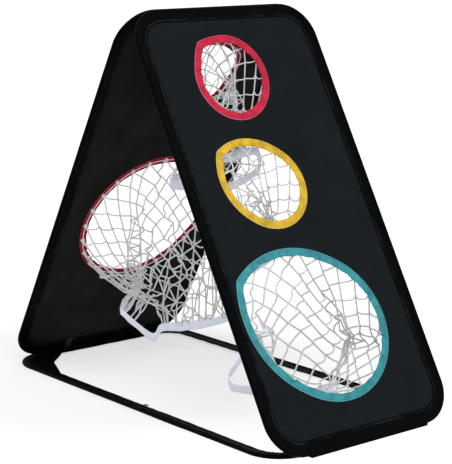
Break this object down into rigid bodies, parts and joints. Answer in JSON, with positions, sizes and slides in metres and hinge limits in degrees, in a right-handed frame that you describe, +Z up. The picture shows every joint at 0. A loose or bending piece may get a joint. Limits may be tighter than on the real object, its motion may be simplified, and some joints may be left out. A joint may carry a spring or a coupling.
{
  "type": "golf chipping net",
  "caption": "Pop-up chipping target: sprung fabric A-frame on a floor loop, with round trimmed holes and hanging cord net pockets behind them.",
  "frame": {"origin": "middle of the base loop's footprint, on the floor", "axes": "+X along the ridge, to the right of someone facing the target; -Y towards the player; +Z up"},
  "size_m": [0.5, 1.006, 0.8654],
  "materials": {
    "spring_steel": "satin",
    "ferrule_steel": "satin",
    "sleeve_cloth": "satin",
    "panel_cloth": "matte",
    "red_binding": "matte",
    "dark_red_binding": "matte",
    "yellow_binding": "matte",
    "teal_binding": "matte",
    "net_cord": "matte",
    "white_tape": "matte",
    "webbing": "matte",
    "tag_cloth": "matte"
  },
  "bodies": {
    "front_panel": {"front_hoop": "spring_steel", "front_ferrule": "ferrule_steel", "front_sleeve": "sleeve_cloth", "front_fabric": "panel_cloth", "red_trim": "red_binding", "yellow_trim": "yellow_binding", "teal_trim": "teal_binding", "red_head_cord": "net_cord", "yellow_head_cord": "net_cord", "teal_head_cord": "net_cord", "red_net": "net_cord", "yellow_net": "net_cord", "teal_net": "net_cord", "red_net_tape": "white_tape", "yellow_net_tape": "white_tape", "teal_net_tape": "white_tape", "front_ridge_tape": "webbing", "front_foot_tape": "webbing"},
    "back_panel": {"back_hoop": "spring_steel", "back_ferrule": "ferrule_steel", "back_sleeve": "sleeve_cloth", "back_fabric": "panel_cloth", "big_trim": "dark_red_binding", "top_trim": "dark_red_binding", "big_head_cord": "net_cord", "top_head_cord": "net_cord", "big_net": "net_cord", "top_net": "net_cord", "big_net_tape": "white_tape", "top_net_tape": "white_tape", "back_ridge_tape": "webbing"},
    "base_loop": {"base_hoop": "spring_steel", "base_ferrule": "ferrule_steel", "base_sleeve": "sleeve_cloth", "base_gusset": "sleeve_cloth", "base_hinge_tape": "webbing", "base_tag": "tag_cloth"},
    "left_tab_strap": {"left_tab": "webbing"},
    "right_tab_strap": {"right_tab": "webbing"}
  },
  "joints": [
    {"name": "ridge_fold", "type": "hinge", "parent": "front_panel", "child": "back_panel", "pos_m": [0, -0.00609, 0.85733], "axis": [-1, 0, 0], "range_deg": [0, 57], "deforming": ["red_net", "red_net_tape", "yellow_net", "yellow_net_tape", "teal_net", "teal_net_tape", "big_net", "big_net_tape", "top_net", "top_net_tape"]},
    {"name": "base_fold", "type": "hinge", "parent": "front_panel", "child": "base_loop", "pos_m": [0, -0.50341, 0.00055], "axis": [-1, 0, 0], "range_deg": [0, 296.5]},
    {"name": "left_tab_flip", "type": "hinge", "parent": "base_loop", "child": "left_tab_strap", "pos_m": [-0.095, 0.48858, 0.0073], "axis": [1, 0, 0], "range_deg": [0, 59]},
    {"name": "right_tab_flip", "type": "hinge", "parent": "base_loop", "child": "right_tab_strap", "pos_m": [0.125, 0.48858, 0.0073], "axis": [1, 0, 0], "range_deg": [0, 59]}
  ],
  "couplings": [
    {"joint": "base_fold", "follows": "ridge_fold", "ratio": 5.2}
  ]
}
